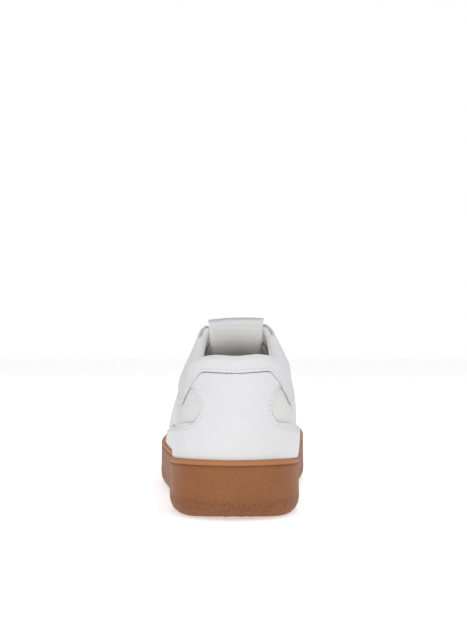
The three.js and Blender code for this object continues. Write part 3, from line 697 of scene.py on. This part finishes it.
for side, name in SIDES:
    a, v = np.meshgrid(np.linspace(0, 1, 84), np.linspace(FOOT_V, 1, 27), indexing="ij")
    w = quarter_front(v) * a
    v = np.minimum(v, np.where(w < 4.6, roll_start(w) - 0.01, THROAT_V))
    stands_for(panel(f"quarter_{name}_skin", on_side(side, w), v, warm_leather, top=0.0,
                     bottom=-LEATHER, radius=0.5), "leather", f"quarter_{name}")
    w, v = mesh_of(EYESTAY_START, VAMP_END, lambda q: along(EYESTAY_EDGE, q), flat_line(THROAT_V), 100, 22)
    at = [layer(on_side(side, q), p, OUTER_FACE) for q, p in zip(EYELET_W, EYELET_V)]
    stands_for(panel(f"eyestay_{name}_skin", on_side(side, w), v, upper_leather, holes=at),
               "leather", f"eyestay_{name}")

a, v = np.meshgrid(np.linspace(0, 1, 101), np.linspace(FOOT_V, 1, 27), indexing="ij")
start = quarter_front(v) - 0.25
stands_for(panel("vamp_skin", start + (LOOP - 2 * start) * a, v, vamp_leather, top=-0.05,
                 bottom=-LEATHER), "leather", "vamp")
w, v = mesh_of(CAP_START, LOOP - CAP_START, flat_line(FOOT_V), lambda q: along(CAP_EDGE, station(q)), 111, 20)
stands_for(panel("toe_cap_skin", w, v, upper_leather), "leather", "toe_cap")

# The heel panel: its side edge runs from the sole at the waist, back and up round the
# quarter's rounded nose, and forward again to the collar panel.
HEEL_SIDE = np.array([[5.62, 0.02], [5.6, 0.13], [5.2, 0.19], [4.4, 0.252], [3.7, 0.32], [3.3, 0.37],
                      [3, 0.405], [2.6, 0.423], [2.1, 0.422], [1.62, 0.437], [1.36, 0.49], [1.27, 0.57],
                      [1.46, 0.66], [1.74, 0.725], [1.9, 0.74]])


def open_curve(points, t):
    """Catmull-Rom along a list of points, t from 0 to 1."""
    points = np.asarray(points, float)
    x = np.asarray(t, float) * (len(points) - 1)
    i = np.clip(np.floor(x).astype(int), 0, len(points) - 2)
    at = [points[np.clip(i + k, 0, len(points) - 1)] for k in (-1, 0, 1, 2)]
    f = x - i
    return blend4(*at, f[..., None] if points.ndim == 2 else f)


def heel_grid(rows, cols):
    """Places over the heel panel, from one side edge to the other and from the sole to the collar."""
    t, c = np.meshgrid(np.linspace(0, 1, rows), np.linspace(-1, 1, cols), indexing="ij")
    side = open_curve(HEEL_SIDE, t)
    w = side[..., 0] * c
    crown = along(COLLAR_EDGE, np.abs(w))
    centre = side[..., 1] + (COLLAR_EDGE[0][1] - HEEL_SIDE[-1, 1]) * smoothstep(t, 0.3, 1.0)
    v = centre + (side[..., 1] - centre) * c * c
    high = smoothstep(t, 0.85, 1.0)
    return w, v * (1 - high) + (crown - 0.004) * high


w, v = heel_grid(70, 91)
stands_for(panel("heel_panel_skin", w, v, upper_leather, radius=0.5), "leather", "heel_panel")


# ---------------------------------------------------------------- the padded collar and the linings
def roll(w, turn, out_depth, height):
    """Point and normal of the rolled top edge: turn 0 on the outer face, 180 degrees on the lining."""
    v = roll_start(w)
    n, up = normal(w, v), unit(slopes(w, v)[1])
    inner = -lining_depth(w, v) - LINING
    half = (out_depth - inner) / 2
    c, s = np.cos(turn)[..., None], np.sin(turn)[..., None]
    flat_c = np.sign(c) * np.abs(c) ** 0.85
    centre = surface(w, v) + n * ((out_depth + inner) / 2)[..., None]
    points = centre + n * half[..., None] * flat_c + up * s * np.asarray(height, float)[..., None]
    return points, unit(n * c + up * s)


SPLIT = math.radians(112)  # where the leather ends and the lining starts, past the top of the roll

w, b = np.meshgrid(np.linspace(-EYESTAY_START + 0.02, EYESTAY_START - 0.02, 141), np.linspace(0, 1, 10),
                   indexing="ij")
low = along(COLLAR_EDGE, station(w))
v = low + (roll_start(w) - low) * b
wr, turn = np.meshgrid(w[:, 0], np.linspace(0, SPLIT, 13)[1:], indexing="ij")
over, over_n = roll(wr, turn, np.full(wr.shape, OUTER_FACE), np.full(wr.shape, ROLL_HEIGHT))
points = np.concatenate([layer(w, v, np.full(w.shape, OUTER_FACE)), over], 1)
normals = np.concatenate([normal(w, v), over_n], 1)
collar = skin("collar_panel_skin", points.reshape(-1, 3), normals.reshape(-1, 3),
              grid_faces(*points.shape[:2]), upper_leather, OVERLAY, 0.6)
stands_for(collar, "leather", "collar_panel")


def lining_shell():
    """The inside, from the rolled edge down to the insole, all round from vamp to vamp."""
    stations = np.linspace(-VAMP_END, VAMP_END, 241)
    facing = smoothstep(np.abs(stations), 4.3, 4.6)
    out_depth = OUTER_FACE * (1 - facing) + 0.1 * facing
    height = ROLL_HEIGHT * (1 - facing) + (ROLL_HEIGHT - 0.5) * facing
    first = SPLIT * (1 - facing) + math.radians(8) * facing
    shares = np.linspace(0, 1, 12)
    turn = first[:, None] + (math.pi - first[:, None]) * shares
    w = np.broadcast_to(stations[:, None], turn.shape)
    edge, edge_n = roll(w, turn, np.broadcast_to(out_depth[:, None], turn.shape),
                        np.broadcast_to(height[:, None], turn.shape))
    down = np.linspace(1, 0, 30)[1:]
    w = np.broadcast_to(stations[:, None], (len(stations), len(down)))
    v = FOOT_V + (roll_start(w) - FOOT_V) * down
    padded = smoothstep(v, 0.5, 0.72) * (1 - smoothstep(v, 0.8, 0.97)) * (1 - smoothstep(station(w), 3, 5))
    puff = 1.3 * padded
    inner = layer(w, v, -lining_depth(w, v) - LINING - puff)
    points = np.concatenate([edge, inner], 1)
    normals = np.concatenate([edge_n, -normal(w, v)], 1)
    return skin("collar_lining", points.reshape(-1, 3), normals.reshape(-1, 3), grid_faces(*points.shape[:2]),
                lining_cloth, 0.5, 0.35)


lining = lining_shell()
stands_for(lining, "lining", "heel_lining", "quarter_lining_lateral", "quarter_lining_medial", "collar_foam")
w, v = mesh_of(VAMP_END - 0.1, LOOP - VAMP_END + 0.1, flat_line(FOOT_V), flat_line(1.0), 61, 16)
points = layer(w, v, np.full(w.shape, -LINING_DEPTH - LINING)).reshape(-1, 3)
kept, faces = merged(points, grid_faces(*w.shape))
stands_for(make("vamp_lining_sheet", points[kept], faces, lining_cloth), "lining", "vamp_lining")


def build_sockliner():
    insets = [30.0, 24.0, 18.0, 14.0, 11.6, 10.4, 9.9]
    rise = [0.0, 0.0, 0.1, 0.5, 1.3, 2.1, 2.2]
    top = around(FEATHER_Z, RIM) + 6.2
    loops = [outline(RIM, inset, top + up) for inset, up in zip(insets, rise)]
    loops.append(outline(RIM, 9.9, top - 4))
    n = len(RIM)
    faces = grid_faces(len(loops), n, closed=True)
    for i in range(n // 2):
        faces.append(tuple(dict.fromkeys((i, (n - i) % n, n - i - 1, i + 1))))
    return make("sockliner_pad", np.concatenate(loops), [f for f in faces if len(f) > 2], sock_cloth)


stands_for(build_sockliner(), "lining", "sockliner")

# ---------------------------------------------------------------- the tongue
TONGUE_LINE = [[204, 60.3], [177, 73.3], [150, 87.2], [127, 97.4], [110.5, 103], [104.5, 112]]
TONGUE_WIDTH = [11, 14, 15.6, 16, 16.4, 17.3]
TONGUE_PADDING = [0.9, 2.6, 4.2, 7.0, 7.2, 2.6]  # fuller than the CAD's plain foam
TONGUE_SHEETS = 2.4  # cover and lining together
TONGUE_X = -0.2
TONGUE_SAG = [0.25, 0.25, 0.25, 0.25, 0.2, 0.12]
TONGUE_LEAN = math.radians(3.5)
TONGUE_END = 0.985  # where the rounded top edge begins
TONGUE_EDGE = 2.6  # how far the rounded top edge reaches past it
TONGUE_TURNS = 96  # points round its section


def tongue_point(r, p, depth):
    """Point r of the way up the tongue and p across it, depth below its face."""
    at, ahead, behind = (open_curve(TONGUE_LINE, np.clip(r + e, 0, 1)) for e in (0, 0.01, -0.01))
    slope = unit(ahead - behind)
    half = open_curve(TONGUE_WIDTH, r)
    down = (depth + half * open_curve(TONGUE_SAG, r) * p * p - p * half * math.sin(TONGUE_LEAN) * r)
    return to_part(at[..., 0] - slope[..., 1] * down, TONGUE_X + p * half * math.cos(TONGUE_LEAN),
                   at[..., 1] + slope[..., 0] * down)


def tongue_thickness(r):
    return TONGUE_SHEETS + open_curve(TONGUE_PADDING, r)


def pillow_side(turn):
    """Place across the tongue at a turn round its flat pillow's section."""
    c = np.cos(turn)
    return 0.995 * (np.sign(c) * np.abs(c) ** 0.42)


def pillow(r, turn):
    """The tongue as a flat pillow: turn runs round its section, outer face first."""
    s = np.sin(turn)
    depth = tongue_thickness(r) / 2 * (1 - np.sign(s) * np.abs(s) ** 0.62)
    return tongue_point(r, pillow_side(turn), depth)


def build_tongue():
    turns = np.linspace(0, 2 * math.pi, TONGUE_TURNS + 1)[:-1]
    r, turn = np.meshgrid(np.linspace(0, TONGUE_END, 90), turns, indexing="ij")
    points = pillow(r, turn)
    # Past the last row the section closes into a rounded top edge.
    last_row = np.full(TONGUE_TURNS, TONGUE_END)
    middle = tongue_point(last_row, pillow_side(turns), tongue_thickness(last_row) / 2)
    ahead = unit(points[-1] - points[-2])
    ends = [middle + (points[-1] - middle) * math.cos(t) + ahead * TONGUE_EDGE * math.sin(t)
            for t in np.radians([20, 40, 58, 74, 86])]
    rings = np.concatenate([points] + [e[None] for e in ends])
    rows, n = rings.shape[:2]
    faces = grid_faces(rows, n, closed=True)
    last = (rows - 1) * n
    for i in range(n // 2):
        j = (n - i) % n
        faces += [(last + i, last + i + 1, last + n - i - 1, last + j), (i, j, n - i - 1, i + 1)]
    faces = [tuple(dict.fromkeys(f)) for f in faces]
    return make("tongue_shell", rings.reshape(-1, 3), [f for f in faces if len(f) > 2], upper_leather,
                body="tongue")


tongue = build_tongue()
stands_for(tongue, "leather", "tongue_leather", "tongue_foam")
r, p = np.meshgrid(np.linspace(0.01, 0.93, 80), np.linspace(-0.9, 0.9, 31), indexing="ij")
depth = tongue_thickness(r) * (0.5 + 0.5 * np.maximum(1e-6, 1 - np.abs(p) ** 4.76) ** 0.31) + 0.35
points = tongue_point(r, p, depth)
du, dv = np.gradient(points, axis=0), np.gradient(points, axis=1)
back = unit(np.cross(du, dv))
if back[40, 15, 2] > 0:
    back = -back
tongue_back = skin("tongue_lining_skin", points.reshape(-1, 3), back.reshape(-1, 3),
                   grid_faces(*r.shape), lining_cloth, 0.8, 0.3, body="tongue")
stands_for(tongue_back, "lining", "tongue_lining")

# ---------------------------------------------------------------- the lace
LACE_LIFT = 1.6
OVER = OUTER_FACE + LACE_LIFT  # the lace's height over the eyestay
UNDER = -LINING_DEPTH - LINING - LACE_LIFT  # and below the lining
CROSSING_OVER = OVER + 0.7
CROSSING_UNDER = UNDER - 1.1
CROSS_LIFT = 1.0  # how far two runs pass above and below each other at the throat's middle
THROAT_STEP = 3.4  # where the lace lies flat again, beyond an eyelet
RIM_V = 0.995  # fraction at which it crosses the throat's edge
HOLE_TOP, HOLE_BOTTOM = 1.2, -LINING_DEPTH - 0.6  # where it is bunched in an eyelet


def flat(at, up):
    return at, up, LACE_WIDTH, LACE_THICKNESS


def turning(at, up):
    return at, up, 4.8, 1.35


def bunched(at, up):
    return at, up, 3.2, 1.7


def eyelet_frame(side, k):
    w, v = on_side(side, EYELET_W[k]), EYELET_V[k]
    throat = unit(surface(w, v + 0.02) - surface(w, v))
    return normal(w, v), throat, lambda depth, reach: layer(w, v, depth) + throat * reach


def rim_at(side, k, depth):
    return layer(on_side(side, EYELET_W[k]), RIM_V, depth)


def up_through(side, k, turn):
    """Up through an eyelet and round towards the throat."""
    out, throat, at = eyelet_frame(side, k)
    return [turning(at(UNDER - 0.4, THROAT_STEP), out * turn), bunched(at(HOLE_BOTTOM, 0), throat * turn),
            bunched(at(HOLE_TOP, 0), throat * turn), turning(at(OVER, THROAT_STEP), -out * turn)]


def tucked_in(side, turn):
    """Down through the top eyelet, with the end laid along the lining."""
    out, throat, at = eyelet_frame(side, 0)
    w = on_side(side, EYELET_W[0])
    end = [flat(layer(w, v, UNDER - 0.9), -normal(w, v) * turn) for v in (0.82, 0.7, 0.58)]
    return [turning(at(OVER, THROAT_STEP), out * turn), bunched(at(HOLE_TOP, 0), -throat * turn),
            bunched(at(HOLE_BOTTOM, 0), -throat * turn)] + end


def midway(a, b, turn, lift):
    up = unit(np.array([0, 0.4, 1.0]))
    return flat((a + b) / 2 + up * lift, up * turn)


def half_lace(start):
    """From the lowest eyelet of one side up to the tucked-in end."""
    way, side, turn = [], start, 1
    for k in range(EYELETS - 1, 0, -1):
        way += up_through(side, k, turn)
        turn = -turn
        leaving = rim_at(side, k, CROSSING_OVER) * 0.75 + rim_at(side, k - 1, CROSSING_OVER) * 0.25
        depth = CROSSING_OVER if k == 1 else CROSSING_UNDER
        arriving = rim_at(-side, k, depth) * 0.25 + rim_at(-side, k - 1, depth) * 0.75
        lift = CROSS_LIFT * start * (-1 if k % 2 else 1)
        way += [flat(leaving, eyelet_frame(side, k)[0] * turn), midway(leaving, arriving, turn, lift),
                flat(arriving, eyelet_frame(-side, k - 1)[0] * turn)]
        side = -side
    return way + tucked_in(side, turn)


def build_lace():
    bar = midway(rim_at(-1, EYELETS - 1, UNDER), rim_at(1, EYELETS - 1, UNDER), 1, 0)
    way = half_lace(-1)[::-1] + [bar] + half_lace(1)
    places, ups = (np.array([p[i] for p in way], float) for i in (0, 1))
    sizes = np.array([[p[2], p[3]] for p in way])
    t = np.linspace(0, 1, (len(way) - 1) * 9 + 1)
    line, up = open_curve(places, t), open_curve(ups, t)
    index = t * (len(way) - 1)
    width, thick = (np.interp(index, np.arange(len(way)), sizes[:, i]) for i in (0, 1))
    tangent = unit(np.gradient(line, axis=0))
    up = unit(up - tangent * (up * tangent).sum(-1, keepdims=True))
    across = np.cross(tangent, up)
    run = np.concatenate([[0], np.cumsum(np.linalg.norm(np.diff(line, axis=0), axis=1))])
    top = [(1, 0), (0.93, 0.62), (0.72, 0.95), (0.3, 1.0), (-0.3, 1.0), (-0.72, 0.95), (-0.93, 0.62)]
    section = top + [(-x, -y) for x, y in top]
    points = np.stack([line + across * (width / 2 * x)[:, None] + up * (thick / 2 * y)[:, None]
                       for x, y in section], 1)
    uv = np.stack([np.stack([run, width / 2 * x], -1) for x, _ in section], 1)
    rows, n = points.shape[:2]
    faces = grid_faces(rows, n, closed=True)
    faces += [tuple(range(n))[::-1], tuple((rows - 1) * n + i for i in range(n))]
    return make("woven_lace", points.reshape(-1, 3), faces, lace_cotton, uv=uv.reshape(-1, 2))


stands_for(build_lace(), "lace", "lace")

# ---------------------------------------------------------------- stitching
def both_sides(w, v):
    """A path on the outer side and its mirror image on the inner side, each with its left the same way up."""
    return [(w, v), ((LOOP - w)[::-1], v[::-1])]


def rows_of(w, v, *distances):
    return [inset_path(w, v, d) for d in distances]


q = np.linspace(-EYESTAY_START + 0.03, EYESTAY_START - 0.03, 200)
stitches("collar_stitching", rows_of(q, along(COLLAR_EDGE, station(q)), -1.7), material=thread_white)
paths = []
t = np.linspace(0.1, 0.97, 300)
curve = open_curve(HEEL_SIDE, t)
for w, v in ((curve[:, 0], curve[:, 1]), (LOOP - curve[::-1, 0], curve[::-1, 1])):
    paths += rows_of(w, v, -1.3, -2.8)
stitches("heel_stitching", paths, material=thread_white)
paths = []
q = np.linspace(EYESTAY_START + 0.05, VAMP_END - 0.05, 220)
for w, v in both_sides(q, along(EYESTAY_EDGE, q)):
    paths += rows_of(w, v, -1.4, -2.9)
q = np.linspace(EYESTAY_START + 0.1, 7.4, 200)
for w, v in both_sides(q, np.full(q.shape, THROAT_V)):
    paths += rows_of(w, v, 2.0)
stitches("eyestay_stitching", paths, material=thread_white)
q = np.linspace(CAP_START + 0.15, LOOP - CAP_START - 0.15, 300)
stitches("toe_cap_stitching", rows_of(q, along(CAP_EDGE, station(q)), 1.4, 2.9), material=thread_white)
paths = []
v = np.linspace(0.26, 0.73, 120)
for w, p in both_sides(quarter_front(v), v):
    paths += rows_of(w, p, 1.4, 2.9)
stitches("quarter_stitching", paths, depth=0.0, material=thread_white)

# ---------------------------------------------------------------- light and camera
FLOOR = 4  # half of its side, in metres
floor_mesh = bpy.data.meshes.new("floor")
floor_mesh.from_pydata([(-FLOOR, -FLOOR, 0), (FLOOR, -FLOOR, 0), (FLOOR, FLOOR, 0), (-FLOOR, FLOOR, 0)],
                       [], [(0, 1, 2, 3)])
floor = bpy.data.objects.new("floor", floor_mesh)
bpy.context.scene.collection.objects.link(floor)
# The floor glows a little, so that it stays white far away, and can be seen through from below.
pale = bpy.data.materials.new("pale_floor")
pale.use_nodes = True
white, out = (pale.node_tree.nodes[name] for name in ("Principled BSDF", "Material Output"))
white.inputs["Base Color"].default_value = (0.9, 0.9, 0.9, 1)
white.inputs["Roughness"].default_value = 0.9
white.inputs["Emission Color"].default_value = (1, 1, 1, 1)
white.inputs["Emission Strength"].default_value = 0.5
facing, clear, either = (pale.node_tree.nodes.new("ShaderNode" + kind)
                         for kind in ("NewGeometry", "BsdfTransparent", "MixShader"))
for source, socket in ((facing.outputs["Backfacing"], either.inputs[0]), (white.outputs[0], either.inputs[1]),
                       (clear.outputs[0], either.inputs[2]), (either.outputs[0], out.inputs[0])):
    pale.node_tree.links.new(source, socket)
floor_mesh.materials.append(pale)
floor.location.z = -0.0002  # just clear of the sole


def area_light(name, place, target, size, power, colour=(1, 1, 1)):
    data = bpy.data.lights.new(name, "AREA")
    data.energy, data.size, data.color = power, size, colour
    light = bpy.data.objects.new(name, data)
    light.location = place
    light.rotation_euler = (Vector(target) - Vector(place)).to_track_quat("-Z", "Y").to_euler()
    bpy.context.scene.collection.objects.link(light)


area_light("key", (0.9, -1.0, 1.1), (0, 0, 0.05), 0.9, 1.4)
area_light("back", (-0.1, -1.6, 0.22), (0, 0, 0.09), 0.7, 4.2)
area_light("top", (0.1, 0.1, 1.6), (0, 0, 0), 1.2, 6)
area_light("fill", (-1.2, -0.9, 0.7), (0, 0, 0.05), 1.0, 1.2)
area_light("front", (0.4, 1.5, 0.9), (0, 0, 0.05), 1.0, 3)
# The camera sees a dimmer white than the one that lights the shoe.
world = bpy.data.worlds.new("studio")
world.use_nodes = True
sky = world.node_tree.nodes
behind, lit = sky["Background"], sky.new("ShaderNodeBackground")
behind.inputs["Color"].default_value = lit.inputs["Color"].default_value = (1, 1, 1, 1)
behind.inputs["Strength"].default_value = 0.5
lit.inputs["Strength"].default_value = 1.0
ray, choose = sky.new("ShaderNodeLightPath"), sky.new("ShaderNodeMixShader")
for source, socket in ((ray.outputs["Is Camera Ray"], choose.inputs[0]),
                       (behind.outputs[0], choose.inputs[1]), (lit.outputs[0], choose.inputs[2]),
                       (choose.outputs[0], sky["World Output"].inputs[0])):
    world.node_tree.links.new(source, socket)
bpy.context.scene.world = world
bpy.context.scene.view_settings.view_transform = "Standard"

CAMERA_DISTANCE = 0.7  # behind the heel, in metres
CAMERA_HEIGHT = 0.104
camera_data = bpy.data.cameras.new("camera")
camera = bpy.data.objects.new("camera", camera_data)
bpy.context.scene.collection.objects.link(camera)
camera.location = (0.0, -SOLE_LENGTH / 2 * MM - CAMERA_DISTANCE, CAMERA_HEIGHT)
camera.rotation_euler = (math.radians(90), 0, 0)
camera_data.lens = 73.68
camera_data.sensor_width = 36
camera_data.shift_y = 0.0333
camera_data.clip_start = 0.01
bpy.context.scene.camera = camera
